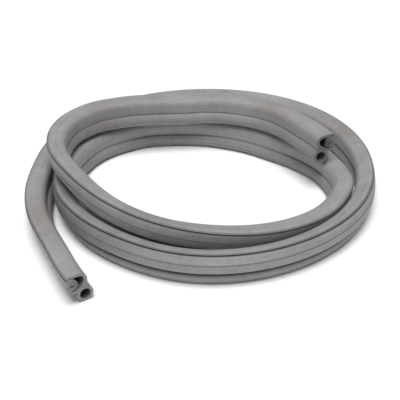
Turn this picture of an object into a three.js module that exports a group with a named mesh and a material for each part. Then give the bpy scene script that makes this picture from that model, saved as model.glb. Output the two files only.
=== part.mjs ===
import * as THREE from 'three';

// Oven door gasket: one length of extruded silicone rubber seal, cut square at both ends and coiled loosely.
// Millimetres, +Z up. The strip lies on the plane z = 0, and the origin is under the middle of its box.
// In the section, x runs towards the middle of the coil and y runs up, from the heel of the outer wall.

// Hooked body of the section
const BODY_WIDTH = 13.4;
const BODY_HEIGHT = 16.5;
const OUTER_WALL_LEAN = THREE.MathUtils.degToRad(11);
const OUTER_WALL_CROWN = 1.1;
const HEEL_RADIUS = 1;
const HEAD_RADIUS = 6.2;
const HEAD_WALL = 2.5;
const BROW_LENGTH = 4.2;
const SHOULDER_HEIGHT = 5;

// Slit under the hook's lip, and the tongue and grip slot inside
const LIP_THICKNESS = 1.7;
const SLIT_GAP = 0.8;
const SLIT_LENGTH = 3.2;
const TONGUE_REACH = 6.4;
const TONGUE_TIP_HEIGHT = 7.4;
const GRIP_GAP = 1.2;
const GRIP_RISE = THREE.MathUtils.degToRad(25);
const GRIP_FLOOR = 2.2;
const GRIP_HEEL_WALL = 1.6;
const RELIEF_LENGTH = 3;
const RELIEF_WIDTH = 1.1;
const RELIEF_HEIGHT = 8;
const RELIEF_WALL = 2.1;

// Hollow sealing tube under the body
const TUBE_RADIUS = 6.4;
const TUBE_WALL = 2.2;
const TUBE_INSET = 2.5;
const TUBE_DROP = 2.7;

// Coil: the radius of its outer lane, how far the tube of one turn may reach under the next turn's wall,
// and the room between neighbouring turns
const COIL_RADIUS = 135;
const LANE_OVERLAP = 2.6;
const LANE_GAP = 0.8;
const TIER_GAP = 0.8;

// Straight pieces that the route is divided into
const ROUTE_STEPS = 104;

// Where the strip lies, from the end on top of the coil to the end on the ground. Each station holds the
// direction from the coil's middle in degrees, the lane (0 is the outer one, and a lane is one section
// wide), the tier (0 is the ground, and a tier is one section high) and the roll of the section in degrees.
const STATIONS = [
  [-7, 1.98, 1.03, 9],
  [12, 2.80, 1.03, 6],
  [32, 3.15, 1.03, 5],
  [59, 3.44, 1.01, 5],
  [79, 3.54, 1.01, 5],
  [97, 3.52, 1.01, 5],
  [113, 3.38, 1.01, 5],
  [130, 2.75, 1.02, 5],
  [147, 1.72, 1.04, 6],
  [157, 1.02, 1.04, 8],
  [172, 0.42, 1.04, 8],
  [190, 0.27, 1.03, 8],
  [210, 0.54, 0.93, 8],
  [230, 0.80, 0.62, 8],
  [250, 0.88, 0.42, 8],
  [270, 0.95, 0.28, 8],
  [292, 0.92, 0.12, 8],
  [315, 0.84, 0.02, 8],
  [330, 0.88, 0.00, 8],
  [343, 1.04, 0.00, 8],
  [361, 1.84, 0.00, 6],
  [379, 2.70, 0.00, 5],
  [401, 3.35, 0.00, 5],
  [432, 3.50, 0.00, 5],
  [458, 3.20, 0.00, 5],
  [476, 2.75, 0.00, 5],
  [490, 2.20, 0.00, 5],
  [504, 1.70, 0.00, 6],
  [519, 1.15, 0.00, 8],
  [540, 0.65, 0.00, 10],
  [560, 0.25, 0.00, 13],
  [580, -0.02, 0.00, 17],
  [600, -0.25, 0.00, 20],
  [630, -0.46, 0.00, 22],
  [675, -0.25, 0.00, 22],
  [720, 0.05, 0.00, 20],
  [765, 0.00, 0.00, 18],
  [810, 0.00, 0.00, 14],
  [840, -0.17, 0.00, 10],
  [870, -0.32, 0.00, 8],
  [890, -0.40, 0.00, 5],
  [905, -0.50, 0.00, 3],
  [918, -0.80, 0.00, 0],
  [931, -1.20, 0.00, 0],
  [942, -1.56, 0.00, 0],
  [951, -2.06, 0.00, 0],
  [961, -2.93, 0.00, 0],
];

// Points of a round arc, both ends included
function arcPoints(centre, radius, fromAngle, toAngle, divisions) {
  const points = [];
  for (let i = 0; i <= divisions; i++) {
    const angle = fromAngle + (toAngle - fromAngle) * i / divisions;
    points.push(new THREE.Vector2(centre.x + radius * Math.cos(angle), centre.y + radius * Math.sin(angle)));
  }
  return points;
}

// Points of a soft bend from one point to another round a corner, both ends included
function bendPoints(from, corner, to, divisions) {
  return new THREE.QuadraticBezierCurve(from, corner, to).getPoints(divisions);
}

// A point of the leaning outer wall, bulged out by the crown between the heel and the lip
function outerWallPoint(height) {
  const share = height / BODY_HEIGHT;
  return new THREE.Vector2(
    -height * Math.tan(OUTER_WALL_LEAN) - 4 * OUTER_WALL_CROWN * share * (1 - share), height);
}

// The section: an outline from the hook's lip over the head, down and round the tube, up the outer wall,
// then in through the slit and round the tongue and the grip slot, with two holes
function gasketSection() {
  const at = (x, y) => new THREE.Vector2(x, y);
  const upperLip = outerWallPoint(BODY_HEIGHT - LIP_THICKNESS);
  const lowerLip = outerWallPoint(BODY_HEIGHT - LIP_THICKNESS - SLIT_GAP);
  const headCentre = at(BODY_WIDTH - HEAD_RADIUS, BODY_HEIGHT - HEAD_RADIUS);
  const tubeCentre = at(BODY_WIDTH - TUBE_INSET, -TUBE_DROP);

  // Brow of the hook, and the round head down to the shoulder
  const brow = bendPoints(upperLip, at(upperLip.x + LIP_THICKNESS, BODY_HEIGHT),
    at(upperLip.x + BROW_LENGTH, BODY_HEIGHT), 2);
  const head = arcPoints(headCentre, HEAD_RADIUS, Math.PI / 2, 0, 5);
  const shoulder = at(BODY_WIDTH, SHOULDER_HEIGHT);

  // The flank runs from the shoulder to touch the tube, and the tube ends at the flat under the body
  const toShoulder = shoulder.clone().sub(tubeCentre);
  const flankAngle = toShoulder.angle() - Math.acos(TUBE_RADIUS / toShoulder.length());
  const notchAngle = -Math.PI - Math.asin(TUBE_DROP / TUBE_RADIUS);
  const tube = arcPoints(tubeCentre, TUBE_RADIUS, flankAngle, notchAngle, 11);

  // Heel, and the outer wall up to the lower lip
  const wallTop = BODY_HEIGHT - LIP_THICKNESS - SLIT_GAP;
  const heel = bendPoints(at(HEEL_RADIUS, 0), at(0, 0), outerWallPoint(HEEL_RADIUS), 2);
  const wall = [0.35, 0.65, 1].map((share) => outerWallPoint(wallTop * share));

  // Floor of the slit, crest and tip of the tongue
  const gripRoof = (x) => at(x, GRIP_FLOOR + GRIP_GAP + (x - GRIP_HEEL_WALL) * Math.tan(GRIP_RISE));
  const gripFloor = (x) => at(x, gripRoof(x).y - GRIP_GAP / Math.cos(GRIP_RISE));
  const tip = at(TONGUE_REACH, TONGUE_TIP_HEIGHT);
  const crest = bendPoints(at(lowerLip.x + SLIT_LENGTH, lowerLip.y),
    at(TONGUE_REACH - GRIP_GAP, lowerLip.y), tip, 3);
  const underTip = bendPoints(tip, gripRoof(TONGUE_REACH), gripRoof(TONGUE_REACH - GRIP_GAP), 2);

  // Roof, closed end and floor of the grip slot, inner wall, and the underside of the head back to the lip
  const gripEnd = bendPoints(gripRoof(GRIP_HEEL_WALL), gripFloor(GRIP_HEEL_WALL - GRIP_GAP / 2),
    gripFloor(GRIP_HEEL_WALL + GRIP_GAP / 2), 2);
  const innerFace = BODY_WIDTH - HEAD_WALL;
  const innerWall = bendPoints(gripFloor(TONGUE_REACH), gripFloor(innerFace), at(innerFace, headCentre.y), 3);
  const underHead = arcPoints(headCentre, HEAD_RADIUS - HEAD_WALL, 0, Math.PI / 2, 3);

  const outline = [
    ...brow, ...head, shoulder, ...tube, ...heel, ...wall, ...crest, ...underTip.slice(1),
    ...gripEnd, ...innerWall, ...underHead.slice(1),
  ];

  // Bore of the tube, and the narrow relief in the root of the tongue
  const bore = arcPoints(tubeCentre, TUBE_RADIUS - TUBE_WALL, 0, 2 * Math.PI, 9).slice(1);
  const reliefX = outerWallPoint(RELIEF_HEIGHT).x + RELIEF_WALL;
  const relief = [
    at(reliefX, RELIEF_HEIGHT + RELIEF_WIDTH / 2),
    at(reliefX, RELIEF_HEIGHT - RELIEF_WIDTH / 2),
    at(reliefX + RELIEF_LENGTH, RELIEF_HEIGHT - RELIEF_WIDTH),
    at(reliefX + RELIEF_LENGTH, RELIEF_HEIGHT),
  ];
  return { outline, holes: [bore, relief] };
}

// Box round the outline when it is turned about its pivot by the roll
function rolledBox(outline, pivot, roll) {
  const turned = outline.map((corner) => corner.clone().rotateAround(pivot, -roll).sub(pivot));
  return new THREE.Box2().setFromPoints(turned);
}

// The strip's centre line, with the frame that carries the section along it
class CoilRoute extends THREE.Curve {
  constructor(outline) {
    super();
    const box = new THREE.Box2().setFromPoints(outline);
    const size = box.getSize(new THREE.Vector2());
    const column = (index) => new THREE.SplineCurve(
      STATIONS.map((station, place) => new THREE.Vector2(place, station[index])));
    this.outline = outline;
    this.pivot = box.getCenter(new THREE.Vector2());
    this.lanePitch = size.x - LANE_OVERLAP + LANE_GAP;
    this.tierPitch = size.y + TIER_GAP;
    this.bearings = column(0);
    this.lanes = column(1);
    this.tiers = column(2);
    this.rolls = column(3);
    this.arcLengthDivisions = 1200;
  }

  rollAt(t) {
    return THREE.MathUtils.degToRad(this.rolls.getPoint(t).y);
  }

  getPoint(t, target = new THREE.Vector3()) {
    const bearing = THREE.MathUtils.degToRad(this.bearings.getPoint(t).y);
    const radius = COIL_RADIUS - this.lanes.getPoint(t).y * this.lanePitch;
    const footing = rolledBox(this.outline, this.pivot, this.rollAt(t)).min.y;
    const height = this.tiers.getPoint(t).y * this.tierPitch - footing;
    return target.set(radius * Math.cos(bearing), radius * Math.sin(bearing), height);
  }

  computeFrenetFrames(segments) {
    const frames = { tangents: [], normals: [], binormals: [] };
    for (let i = 0; i <= segments; i++) {
      const t = this.getUtoTmapping(i / segments);
      const roll = this.rollAt(t);
      const tangent = this.getTangent(t);
      const inwards = new THREE.Vector3(0, 0, 1).cross(tangent).normalize();
      const upwards = tangent.clone().cross(inwards);
      const turned = (along, up) => inwards.clone().multiplyScalar(along).addScaledVector(upwards, up);
      frames.tangents.push(tangent);
      frames.normals.push(turned(Math.cos(roll), -Math.sin(roll)));
      frames.binormals.push(turned(Math.sin(roll), Math.cos(roll)));
    }
    return frames;
  }
}

// The strip: the section, moved to its pivot and pushed along the route, then set on the plane z = 0 with
// the middle of its box over the origin
function gasketStrip() {
  const section = gasketSection();
  const route = new CoilRoute(section.outline);
  const centred = (points) => points.map((point) => point.clone().sub(route.pivot));
  const shape = new THREE.Shape(centred(section.outline));
  shape.holes = section.holes.map((hole) => new THREE.Path(centred(hole)));
  const geometry = new THREE.ExtrudeGeometry(shape, { steps: ROUTE_STEPS, extrudePath: route });
  geometry.computeBoundingBox();
  const middle = geometry.boundingBox.getCenter(new THREE.Vector3());
  geometry.translate(-middle.x, -middle.y, -geometry.boundingBox.min.z);
  const rubber = new THREE.MeshStandardMaterial({ color: 0x7d7d7f, roughness: 0.55, metalness: 0 });
  const strip = new THREE.Mesh(geometry, rubber);
  strip.name = 'gasket_strip';
  return strip;
}

const gasket = new THREE.Group();
gasket.add(gasketStrip());

export default gasket;
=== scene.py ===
import math

import bmesh
import bpy
import numpy as np
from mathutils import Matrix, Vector


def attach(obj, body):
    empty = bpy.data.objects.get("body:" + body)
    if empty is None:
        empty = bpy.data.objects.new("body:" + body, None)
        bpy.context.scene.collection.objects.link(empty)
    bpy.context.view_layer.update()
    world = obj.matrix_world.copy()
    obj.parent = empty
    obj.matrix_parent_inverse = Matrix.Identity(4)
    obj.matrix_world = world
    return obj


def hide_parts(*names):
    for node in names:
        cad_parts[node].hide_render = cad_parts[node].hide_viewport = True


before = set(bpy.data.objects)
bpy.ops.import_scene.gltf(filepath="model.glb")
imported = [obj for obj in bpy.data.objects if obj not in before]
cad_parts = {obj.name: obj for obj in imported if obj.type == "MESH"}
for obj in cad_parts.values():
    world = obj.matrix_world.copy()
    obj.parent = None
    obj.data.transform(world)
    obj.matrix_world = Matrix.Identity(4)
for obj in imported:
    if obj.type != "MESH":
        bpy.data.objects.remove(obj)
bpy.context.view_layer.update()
scene = bpy.context.scene

# ---------------------------------------------------------------- camera
# The camera is level with the coil's near side and 31 degrees above it, 0.7 m from the coil's middle.
# That middle lies a little to the right of and behind the middle of the box round the strip.
COIL_MIDDLE = Vector((0.0059535, 0.0143451, 0.0))
CAMERA_RISE = math.radians(31)
CAMERA_DISTANCE = 0.7
SENSOR_WIDTH = 36
PICTURE_WIDTH = 400
FOCAL_PIXELS = 784
SHIFT_PIXELS = (-10.5, -17.7)

camera_data = bpy.data.cameras.new("camera")
camera_data.sensor_width = SENSOR_WIDTH
camera_data.lens = SENSOR_WIDTH * FOCAL_PIXELS / PICTURE_WIDTH
camera_data.shift_x = SHIFT_PIXELS[0] / PICTURE_WIDTH
camera_data.shift_y = SHIFT_PIXELS[1] / PICTURE_WIDTH
camera = bpy.data.objects.new("camera", camera_data)
camera.location = COIL_MIDDLE + CAMERA_DISTANCE * Vector((0, -math.cos(CAMERA_RISE), math.sin(CAMERA_RISE)))
camera.rotation_euler = (math.pi / 2 - CAMERA_RISE, 0, 0)
scene.collection.objects.link(camera)
scene.camera = camera


# ---------------------------------------------------------------- the rubber strip
# The door seal itself: one length of grey silicone rubber, extruded as a hooked body with a slit, a tongue
# and a grip slot, and a hollow tube along one corner, and cut square at both ends. The grip slot holds it
# on the door. Here it lies loose in a coil, from the end on top to the end on the ground.

# The section in millimetres, x towards the coil's middle and y up from the heel
BODY_WIDTH = 13.4
BODY_HEIGHT = 16.5
OUTER_WALL_LEAN = math.radians(11)
OUTER_WALL_CROWN = 1.1
HEEL_RADIUS = 1.0
HEAD_RADIUS = 6.2
HEAD_WALL = 2.5
BROW_LENGTH = 4.2
SHOULDER_HEIGHT = 5.0
LIP_THICKNESS = 1.7
SLIT_GAP = 0.8
SLIT_LENGTH = 3.2
TONGUE_REACH = 6.4
TONGUE_TIP_HEIGHT = 7.4
GRIP_GAP = 1.2
GRIP_RISE = math.radians(25)
GRIP_FLOOR = 2.2
GRIP_HEEL_WALL = 1.6
RELIEF_LENGTH = 3.0
RELIEF_WIDTH = 1.1
RELIEF_HEIGHT = 8.0
RELIEF_WALL = 2.1
TUBE_RADIUS = 6.4
TUBE_WALL = 2.2
TUBE_INSET = 2.5
TUBE_DROP = 2.7

# The fine scored lines on the wall and the tube, and the crease between head and tube
SCORE_DEPTH = 0.28
SCORE_WIDTH = 0.34
WALL_SCORE_SHARE = 0.45
TUBE_SCORE_ANGLE = -2.4
CREASE_DEPTH = 0.9
CREASE_WIDTH = 1.2
CREASE_DROP = 2
FLANK_STEP = 0.5
SHARP_TURN = math.radians(30)

# The coil: its outer lane, the point of the section that lies on the route, and the step to the next lane
# and tier
COIL_RADIUS = 135.0
PIVOT = np.array((6.96497, 3.71887))
LANE_PITCH = 18.70
TIER_PITCH = 26.36
BOX_OFFSET = np.array((5.9535, 14.3451, 0.0158))
RINGS = 480
ROUTE_STEPS = 2400

# Direction from the coil's middle in degrees, lane, tier and roll in degrees
STATIONS = np.array([
    (-7, 1.98, 1.03, 9), (12, 2.80, 1.03, 6), (32, 3.15, 1.03, 5), (59, 3.44, 1.01, 5),
    (79, 3.54, 1.01, 5), (97, 3.52, 1.01, 5), (113, 3.38, 1.01, 5), (130, 2.75, 1.02, 5),
    (147, 1.72, 1.04, 6), (157, 1.02, 1.04, 8), (172, 0.42, 1.04, 8), (190, 0.27, 1.03, 8),
    (210, 0.53, 0.93, 11), (230, 0.70, 0.585, 19), (250, 0.80, 0.37, 17), (270, 0.90, 0.24, 8),
    (292, 0.91, 0.11, 2), (315, 0.86, 0.02, -1), (330, 0.91, 0.00, 1), (343, 1.05, 0.00, 3),
    (361, 1.84, 0.00, 6), (379, 2.70, 0.00, 5), (401, 3.35, 0.00, 5), (432, 3.50, 0.00, 5),
    (458, 3.20, 0.00, 5), (476, 2.75, 0.00, 5), (490, 2.20, 0.00, 5), (504, 1.70, 0.00, 6),
    (519, 1.15, 0.00, 8), (540, 0.65, 0.00, 10), (560, 0.25, 0.00, 14), (580, 0.01, 0.00, 21),
    (600, -0.16, 0.00, 24), (630, -0.42, 0.00, 22), (675, -0.25, 0.00, 22), (720, 0.05, 0.00, 20),
    (765, 0.00, 0.00, 18), (810, 0.00, 0.00, 14), (840, -0.17, 0.00, 10), (870, -0.32, 0.00, 8),
    (890, -0.40, 0.00, 5), (905, -0.50, 0.00, 3), (918, -0.80, 0.00, 0), (931, -1.20, 0.00, 0),
    (942, -1.56, 0.00, 0), (951, -2.06, 0.00, 0), (961, -2.93, 0.00, 0),
], float)

# Greys of its darker and lighter patches, and the grey of the painted shade in its creases, slit, hollows and
# cut faces
DARK_PATCH = (0.322, 0.310, 0.303)
LIGHT_PATCH = (0.400, 0.395, 0.400)
PAINTED_SHADE_GREY = (0.06, 0.058, 0.056)

# Painted shade on the cut faces: how dark a cut face is painted at its rim, and how much darker round the
# tongue
TOP_END_SHADE = 0.34
GROUND_END_SHADE = 0.1
TONGUE_SHADE = 0.45
TONGUE_PLACE = (4, 8)
TONGUE_SHADE_REACH = 5

# Where the pattern starts: each loop of the section has its own stretch of it, and so have the cut faces
LOOP_PATTERN_SHIFT = 0.2
CUT_PATTERN_PLACE = 5


def arc(cx, cy, radius, start, end, divisions):
    angles = np.linspace(start, end, divisions + 1)
    return [(cx + radius * math.cos(a), cy + radius * math.sin(a)) for a in angles]


def bend(a, b, c, divisions):
    made = []
    for t in np.linspace(0, 1, divisions + 1):
        made.append(tuple((1 - t) ** 2 * np.array(a) + 2 * t * (1 - t) * np.array(b) + t * t * np.array(c)))
    return made


def line(a, b, step):
    count = max(1, math.ceil(math.dist(a, b) / step))
    return [tuple(np.array(a) + (np.array(b) - np.array(a)) * i / count) for i in range(count + 1)]


def outer_wall(height):
    share = height / BODY_HEIGHT
    return (-height * math.tan(OUTER_WALL_LEAN) - 4 * OUTER_WALL_CROWN * share * (1 - share), height)


def scored(points, at, depth, width):
    """The points with a V groove cut at the one nearest to a place on them."""
    nearest = min(range(1, len(points) - 1), key=lambda i: math.dist(points[i], at))
    here = np.array(points[nearest])
    along = np.array(points[nearest + 1]) - np.array(points[nearest - 1])
    along = along / np.linalg.norm(along)
    inwards = np.array((along[1], -along[0]))
    groove = [tuple(here - along * width), tuple(here + inwards * depth), tuple(here + along * width)]
    clear_of_groove = width * 1.3
    before = [p for p in points[:nearest] if math.dist(p, here) > clear_of_groove]
    after = [p for p in points[nearest + 1:] if math.dist(p, here) > clear_of_groove]
    return before + groove + after


def darkening(points):
    """How much painted shade each point of the section gets, from 0 to 1: shade painted into its notch,
    creases, slit, hollows, bore and the tube's side.
    """
    wall_top = BODY_HEIGHT - LIP_THICKNESS - SLIT_GAP
    # Each spot of painted shade: its place, its reach and how dark it gets
    notch = ((3.8, -0.4), 2.4, 1.0)
    painted_shade = ((BODY_WIDTH - CREASE_DEPTH, SHOULDER_HEIGHT - CREASE_DROP), 1.1, 0.9)
    wall_line = (outer_wall(wall_top * WALL_SCORE_SHARE), 0.7, 0.4)
    slit = (outer_wall(wall_top + SLIT_GAP / 2), 0.9, 0.7)
    hollow = ((6, 9), 4.5, 0.95)
    bore = ((BODY_WIDTH - TUBE_INSET, -TUBE_DROP), 5, 1.0)
    tube_side = ((18, -5), 9, 0.2)
    lip = (outer_wall(BODY_HEIGHT - LIP_THICKNESS * 0.6), 1.5, 0.5)
    dark = np.zeros(len(points))
    for place, reach, strength in (notch, painted_shade, wall_line, slit, hollow, bore, tube_side, lip):
        distance = np.linalg.norm(points - np.array(place), axis=1) / reach
        dark = np.maximum(dark, strength * np.exp(-distance ** 4))
    return dark


def gasket_section():
    """The outline of the section, and its two holes: the tube's bore and the relief in the tongue's root."""
    upper_lip = outer_wall(BODY_HEIGHT - LIP_THICKNESS)
    wall_top = BODY_HEIGHT - LIP_THICKNESS - SLIT_GAP
    lower_lip = outer_wall(wall_top)
    head = (BODY_WIDTH - HEAD_RADIUS, BODY_HEIGHT - HEAD_RADIUS)
    tube = (BODY_WIDTH - TUBE_INSET, -TUBE_DROP)

    brow_corner = (upper_lip[0] + LIP_THICKNESS, BODY_HEIGHT)
    outside = bend(upper_lip, brow_corner, (upper_lip[0] + BROW_LENGTH, BODY_HEIGHT), 8)
    outside += arc(*head, HEAD_RADIUS, math.pi / 2, 0, 16)
    shoulder = (BODY_WIDTH, SHOULDER_HEIGHT)
    dx, dy = shoulder[0] - tube[0], shoulder[1] - tube[1]
    flank_angle = math.atan2(dy, dx) - math.acos(TUBE_RADIUS / math.hypot(dx, dy))
    notch_angle = -math.pi - math.asin(TUBE_DROP / TUBE_RADIUS)
    tube_arc = arc(*tube, TUBE_RADIUS, flank_angle, notch_angle, 34)
    tube_score = arc(*tube, TUBE_RADIUS, TUBE_SCORE_ANGLE, TUBE_SCORE_ANGLE, 1)[0]
    tube_arc = scored(tube_arc, tube_score, SCORE_DEPTH, SCORE_WIDTH)
    flank = line((BODY_WIDTH, head[1]), shoulder, FLANK_STEP)[1:]
    flank += line(shoulder, tube_arc[0], FLANK_STEP)[1:] + tube_arc[1:]
    outside += scored(flank, (BODY_WIDTH, SHOULDER_HEIGHT - CREASE_DROP), CREASE_DEPTH, CREASE_WIDTH)
    outside += bend((HEEL_RADIUS, 0), (0, 0), outer_wall(HEEL_RADIUS), 4)
    wall = [outer_wall(h) for h in np.linspace(HEEL_RADIUS, wall_top, 15)][1:]
    outside += scored(wall, outer_wall(wall_top * WALL_SCORE_SHARE), SCORE_DEPTH, SCORE_WIDTH)

    def grip_roof(x):
        return (x, GRIP_FLOOR + GRIP_GAP + (x - GRIP_HEEL_WALL) * math.tan(GRIP_RISE))

    def grip_floor(x):
        return (x, grip_roof(x)[1] - GRIP_GAP / math.cos(GRIP_RISE))

    tip = (TONGUE_REACH, TONGUE_TIP_HEIGHT)
    inner = BODY_WIDTH - HEAD_WALL
    inside = bend((lower_lip[0] + SLIT_LENGTH, lower_lip[1]), (TONGUE_REACH - GRIP_GAP, lower_lip[1]), tip, 8)
    inside += bend(tip, grip_roof(TONGUE_REACH), grip_roof(TONGUE_REACH - GRIP_GAP), 5)[1:]
    inside += bend(grip_roof(GRIP_HEEL_WALL), grip_floor(GRIP_HEEL_WALL - GRIP_GAP / 2),
                   grip_floor(GRIP_HEEL_WALL + GRIP_GAP / 2), 5)
    inside += bend(grip_floor(TONGUE_REACH), grip_floor(inner), (inner, head[1]), 10)
    inside += arc(*head, HEAD_RADIUS - HEAD_WALL, 0, math.pi / 2, 10)[1:]

    bore = arc(*tube, TUBE_RADIUS - TUBE_WALL, 0, 2 * math.pi, 28)[1:]
    near = outer_wall(RELIEF_HEIGHT)[0] + RELIEF_WALL
    far = near + RELIEF_LENGTH
    relief = [(near, RELIEF_HEIGHT + RELIEF_WIDTH / 2), (near, RELIEF_HEIGHT - RELIEF_WIDTH / 2),
              (far, RELIEF_HEIGHT - RELIEF_WIDTH), (far, RELIEF_HEIGHT)]
    return np.array(outside + inside), np.array(bore), np.array(relief)


def spline(values, t):
    """The value of a row of station values at t from 0 to 1, on a smooth curve through them all."""
    place = (len(values) - 1) * t
    i = min(int(place), len(values) - 2)
    w = place - i
    p0, p1 = values[max(i - 1, 0)], values[i]
    p2, p3 = values[i + 1], values[min(i + 2, len(values) - 1)]
    v0, v1 = (p2 - p0) / 2, (p3 - p1) / 2
    return (2 * p1 - 2 * p2 + v0 + v1) * w ** 3 + (-3 * p1 + 3 * p2 - 2 * v0 - v1) * w * w + v0 * w + p1


def strip_route(outline):
    """Each ring's centre with the section's two axes there, and the strip's length, in millimetres."""
    def centre(t):
        bearing = math.radians(spline(STATIONS[:, 0], t))
        radius = COIL_RADIUS - spline(STATIONS[:, 1], t) * LANE_PITCH
        roll = math.radians(spline(STATIONS[:, 3], t))
        x, y = (outline - PIVOT).T
        foot = (math.cos(roll) * y - math.sin(roll) * x).min()
        height = spline(STATIONS[:, 2], t) * TIER_PITCH - foot
        return np.array((radius * math.cos(bearing), radius * math.sin(bearing), height)) + BOX_OFFSET

    shares = np.linspace(0, 1, ROUTE_STEPS + 1)
    trail = np.array([centre(t) for t in shares])
    lengths = np.concatenate(([0], np.cumsum(np.linalg.norm(np.diff(trail, axis=0), axis=1))))
    stops = np.interp(np.linspace(0, lengths[-1], RINGS + 1), lengths, shares)
    rings = []
    for t in stops:
        tangent = centre(min(t + 1e-4, 1)) - centre(max(t - 1e-4, 0))
        tangent /= np.linalg.norm(tangent)
        inwards = np.cross((0, 0, 1), tangent)
        inwards /= np.linalg.norm(inwards)
        upwards = np.cross(tangent, inwards)
        roll = math.radians(spline(STATIONS[:, 3], t))
        rings.append((centre(t), math.cos(roll) * inwards - math.sin(roll) * upwards,
                      math.sin(roll) * inwards + math.cos(roll) * upwards))
    return rings, lengths[-1]


def turned_to(points, sign):
    """The loop of points, reversed if its area doesn't have the sign asked for."""
    x, y = points[:, 0], points[:, 1]
    area = (x * np.roll(y, -1) - y * np.roll(x, -1)).sum()
    return points if area * sign > 0 else points[::-1]


def corner_flags(points, limit):
    """Which points of a closed loop turn by more than the limit."""
    before = points - np.roll(points, 1, 0)
    after = np.roll(points, -1, 0) - points
    turn = np.arctan2(before[:, 0] * after[:, 1] - before[:, 1] * after[:, 0], (before * after).sum(1))
    return np.abs(turn) > limit


def strip_mesh(loops, rings, strip_length):
    """The strip drawn out straight and cut into rings, then wound along the coil, both cut ends closed."""
    section = np.concatenate(loops)
    count = len(section)
    build = bmesh.new()
    point_layer = build.verts.layers.float.new("point")
    rim = [build.verts.new((x, y, 0)) for x, y in section]
    for point, corner in enumerate(rim):
        corner[point_layer] = point
    around, starts, closing, dark, corners = [], [], {}, [], []
    for loop in loops:
        start, size = len(around), len(loop)
        for i in range(size):
            build.edges.new((rim[start + (i + 1) % size], rim[start + i]))
        steps = np.linalg.norm(np.roll(loop, -1, 0) - loop, axis=1)
        walked = np.concatenate(([0], np.cumsum(steps))) / 1000 + LOOP_PATTERN_SHIFT * start
        around += list(walked[:-1])
        starts += [start] * size
        closing[frozenset((start, start + size - 1))] = (start, walked[-1])
        # The painted shade of each point of the loop
        dark += list(darkening(loop))
        corners += list(corner_flags(loop, SHARP_TURN))

    # Drawn out from the end on top to the end on the ground, closed, and cut into rings
    top_rim = build.edges[:]
    drawn = bmesh.ops.extrude_edge_only(build, edges=top_rim)["geom"]
    ground_rim = [part for part in drawn if isinstance(part, bmesh.types.BMEdge)]
    ground_points = [part for part in drawn if isinstance(part, bmesh.types.BMVert)]
    bmesh.ops.translate(build, vec=(0, 0, strip_length), verts=ground_points)
    rims = set(top_rim) | set(ground_rim)
    lengthwise = [edge for edge in build.edges if edge not in rims]
    for cut in (top_rim, ground_rim):
        for edge in cut:
            edge.smooth = False
        bmesh.ops.triangle_fill(build, edges=cut)
    bmesh.ops.recalc_face_normals(build, faces=build.faces)
    bmesh.ops.subdivide_edges(build, edges=lengthwise, cuts=RINGS - 1)

    # Numbered ring by ring, so that a corner's number gives its ring and its point of the section
    def corner_number(corner):
        return round(corner.co.z / strip_length * RINGS) * count + corner[point_layer]

    build.verts.sort(key=corner_number)
    build.verts.index_update()

    def face_number(face):
        """A face's place in the strip: loop by loop and ring by ring, with the cut faces last."""
        levels, points = zip(*(divmod(corner.index, count) for corner in face.verts))
        if min(levels) == max(levels):
            return count * (RINGS + 1) * count + face.index
        point = max(points) if frozenset(points) in closing else min(points)
        return (starts[point] * (RINGS + 1) + min(levels)) * count + point

    build.faces.index_update()
    build.faces.sort(key=face_number)
    for edge in build.edges:
        a, b = (corner.index % count for corner in edge.verts)
        if a == b and corners[a]:
            edge.smooth = False
    pattern = build.loops.layers.uv.new("strip")
    # Painted shade for each corner: from darkening() on the sides, and on the cut faces darker at the top end
    # and round the tongue
    painted_shade = build.loops.layers.float.new("painted_shade")
    for face in build.faces:
        face.smooth = True
        levels, points = zip(*(divmod(loop.vert.index, count) for loop in face.loops))
        first, whole = closing.get(frozenset(points), (None, None))
        for loop, point, ring in zip(face.loops, points, levels):
            if min(levels) < max(levels):
                u = whole if point == first else around[point]
                loop[pattern].uv = (u, ring * strip_length / 1000 / RINGS)
                loop[painted_shade] = dark[point]
            else:
                # A cut face gets painted shade, darkest round the tongue
                shade = GROUND_END_SHADE if ring else TOP_END_SHADE
                distance = math.dist(section[point], TONGUE_PLACE) / TONGUE_SHADE_REACH
                x, y = (section[point] - PIVOT) / 1000
                loop[pattern].uv = (CUT_PATTERN_PLACE + x, CUT_PATTERN_PLACE + y)
                loop[painted_shade] = shade + TONGUE_SHADE * math.exp(-distance ** 4)

    for corner in build.verts:
        ring, point = divmod(corner.index, count)
        centre, inwards, upwards = rings[ring]
        x, y = section[point] - PIVOT
        corner.co = (centre + x * inwards + y * upwards) / 1000
    build.verts.layers.float.remove(point_layer)
    mesh = bpy.data.meshes.new("rubber_strip")
    build.to_mesh(mesh)
    build.free()
    return mesh


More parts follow.
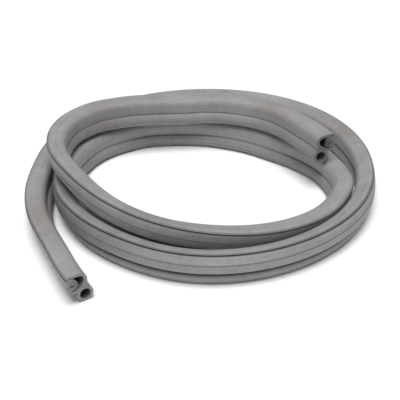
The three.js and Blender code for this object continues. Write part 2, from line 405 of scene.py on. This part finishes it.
def silicone_rubber():
    """Grey rubber with fine lines drawn along the strip, a faint mottle, dust and grain, and painted shade in
    its creases, hollows and cut faces.
    """
    material = bpy.data.materials.new("silicone_rubber")
    material.use_nodes = True
    tree = material.node_tree
    tree.nodes.clear()
    node = tree.nodes.new
    link = tree.links.new

    output = node("ShaderNodeOutputMaterial")
    shader = node("ShaderNodeBsdfPrincipled")
    link(shader.outputs["BSDF"], output.inputs["Surface"])
    shader.inputs["Metallic"].default_value = 0
    shader.inputs["IOR"].default_value = 1.43
    shader.inputs["Specular IOR Level"].default_value = 0.42

    # The strip's own UV map is in metres, u round the section and v along the strip
    uv = node("ShaderNodeUVMap")
    uv.uv_map = "strip"
    place = node("ShaderNodeTexCoord")

    def noise(vector, scale, detail, stretch=None):
        if stretch is not None:
            mapping = node("ShaderNodeMapping")
            mapping.inputs["Scale"].default_value = stretch
            link(vector, mapping.inputs["Vector"])
            vector = mapping.outputs["Vector"]
        texture = node("ShaderNodeTexNoise")
        texture.inputs["Scale"].default_value = scale
        texture.inputs["Detail"].default_value = detail
        texture.inputs["Roughness"].default_value = 0.6
        link(vector, texture.inputs["Vector"])
        return texture.outputs["Fac"]

    def ramp(value, stops):
        element = node("ShaderNodeValToRGB")
        for stop, (position, colour) in zip(element.color_ramp.elements, stops):
            stop.position = position
            stop.color = (*colour, 1)
        link(value, element.inputs["Fac"])
        return element.outputs["Color"]

    def multiply(a, b, amount):
        mix = node("ShaderNodeMix")
        mix.data_type = "RGBA"
        mix.blend_type = "MULTIPLY"
        mix.inputs["Factor"].default_value = amount
        link(a, mix.inputs["A"])
        link(b, mix.inputs["B"])
        return mix.outputs["Result"]

    # How fine each pattern is and how much detail it has; the first two are drawn out along the strip
    lines = noise(uv.outputs["UV"], 1, 3, (2600, 9, 1))
    broad = noise(uv.outputs["UV"], 1, 2, (420, 4, 1))
    mottle = noise(place.outputs["Object"], 22, 4)
    dabs = noise(place.outputs["Object"], 160, 3)
    grain = noise(place.outputs["Object"], 900, 3)

    tone = ramp(mottle, [(0.32, DARK_PATCH), (0.70, LIGHT_PATCH)])
    tone = multiply(tone, ramp(lines, [(0.36, (0.70, 0.69, 0.68)), (0.58, (1, 1, 1))]), 0.42)
    tone = multiply(tone, ramp(broad, [(0.36, (0.74, 0.73, 0.72)), (0.60, (1, 1, 1))]), 0.4)
    tone = multiply(tone, ramp(dabs, [(0.40, (0.84, 0.82, 0.80)), (0.60, (1, 1, 1))]), 0.4)
    tone = multiply(tone, ramp(grain, [(0.36, (0.76, 0.76, 0.76)), (0.60, (1, 1, 1))]), 0.6)
    # Painted shade, read from the corners' attribute and multiplied into the grey, darkens the creases,
    # hollows, bore and cut faces
    painted_shade = node("ShaderNodeAttribute")
    painted_shade.attribute_name = "painted_shade"
    tone = multiply(tone, ramp(painted_shade.outputs["Fac"], [(0.0, (1, 1, 1)), (1.0, PAINTED_SHADE_GREY)]), 1)
    link(tone, shader.inputs["Base Color"])

    shine = node("ShaderNodeMapRange")
    shine.inputs["From Min"].default_value = 0.3
    shine.inputs["From Max"].default_value = 0.7
    shine.inputs["To Min"].default_value = 0.46
    shine.inputs["To Max"].default_value = 0.66
    link(mottle, shine.inputs["Value"])
    link(shine.outputs["Result"], shader.inputs["Roughness"])

    fine = node("ShaderNodeBump")
    fine.inputs["Strength"].default_value = 0.35
    fine.inputs["Distance"].default_value = 0.00008
    link(lines, fine.inputs["Height"])
    rough = node("ShaderNodeBump")
    rough.inputs["Strength"].default_value = 0.25
    rough.inputs["Distance"].default_value = 0.00006
    link(grain, rough.inputs["Height"])
    link(fine.outputs["Normal"], rough.inputs["Normal"])
    link(rough.outputs["Normal"], shader.inputs["Normal"])
    return material


outline, bore, relief = gasket_section()
rings, strip_length = strip_route(outline)
loops = [turned_to(outline, 1), turned_to(bore, -1), turned_to(relief, -1)]
strip = bpy.data.objects.new("rubber_strip", strip_mesh(loops, rings, strip_length))
strip.data.materials.append(silicone_rubber())
scene.collection.objects.link(strip)
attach(strip, "root")
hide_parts("gasket_strip")


# ---------------------------------------------------------------- floor and light
# A plain pale floor under one wide soft light from above and a weak one in front, with an even surround
# that fills the shade and shows white to the camera.
FLOOR_REACH = 4
FLOOR_COLOUR = (0.95, 0.95, 0.95, 1)
OVERHEAD_STRENGTH = 2.9
OVERHEAD_SPREAD = math.radians(38)
OVERHEAD_DIRECTION = Vector((0.05, 0.3, -1.5))
FRONT_PLACE = Vector((-0.5, -1.6, 0.9))
FRONT_SIZE = 1.2
FRONT_WATTS = 2.6
SURROUND_FILL = 0.2

floor_build = bmesh.new()
bmesh.ops.create_grid(floor_build, x_segments=1, y_segments=1, size=FLOOR_REACH)
floor_mesh = bpy.data.meshes.new("floor")
floor_build.to_mesh(floor_mesh)
floor_build.free()
floor = bpy.data.objects.new("floor", floor_mesh)
floor_material = bpy.data.materials.new("floor")
floor_material.use_nodes = True
floor_shader = floor_material.node_tree.nodes["Principled BSDF"]
floor_shader.inputs["Base Color"].default_value = FLOOR_COLOUR
floor_shader.inputs["Roughness"].default_value = 0.9
floor_shader.inputs["Specular IOR Level"].default_value = 0.1
floor_mesh.materials.append(floor_material)
scene.collection.objects.link(floor)

overhead_data = bpy.data.lights.new("overhead", "SUN")
overhead_data.energy = OVERHEAD_STRENGTH
overhead_data.angle = OVERHEAD_SPREAD
overhead = bpy.data.objects.new("overhead", overhead_data)
overhead.rotation_euler = OVERHEAD_DIRECTION.to_track_quat("-Z", "Y").to_euler()
scene.collection.objects.link(overhead)

front_data = bpy.data.lights.new("front_fill", "AREA")
front_data.shape = "DISK"
front_data.size = FRONT_SIZE
front_data.energy = FRONT_WATTS
front = bpy.data.objects.new("front_fill", front_data)
front.location = FRONT_PLACE
front.rotation_euler = (-FRONT_PLACE).to_track_quat("-Z", "Y").to_euler()
scene.collection.objects.link(front)

world = bpy.data.worlds.new("surround")
world.use_nodes = True
surround = world.node_tree.nodes["Background"]
surround.inputs["Color"].default_value = (1, 1, 1, 1)
surround_tree = world.node_tree
rays = surround_tree.nodes.new("ShaderNodeLightPath")
level = surround_tree.nodes.new("ShaderNodeMapRange")
level.inputs["To Min"].default_value = SURROUND_FILL
level.inputs["To Max"].default_value = 1
surround_tree.links.new(rays.outputs["Is Camera Ray"], level.inputs["Value"])
surround_tree.links.new(level.outputs["Result"], surround.inputs["Strength"])
scene.world = world
scene.view_settings.view_transform = "Standard"
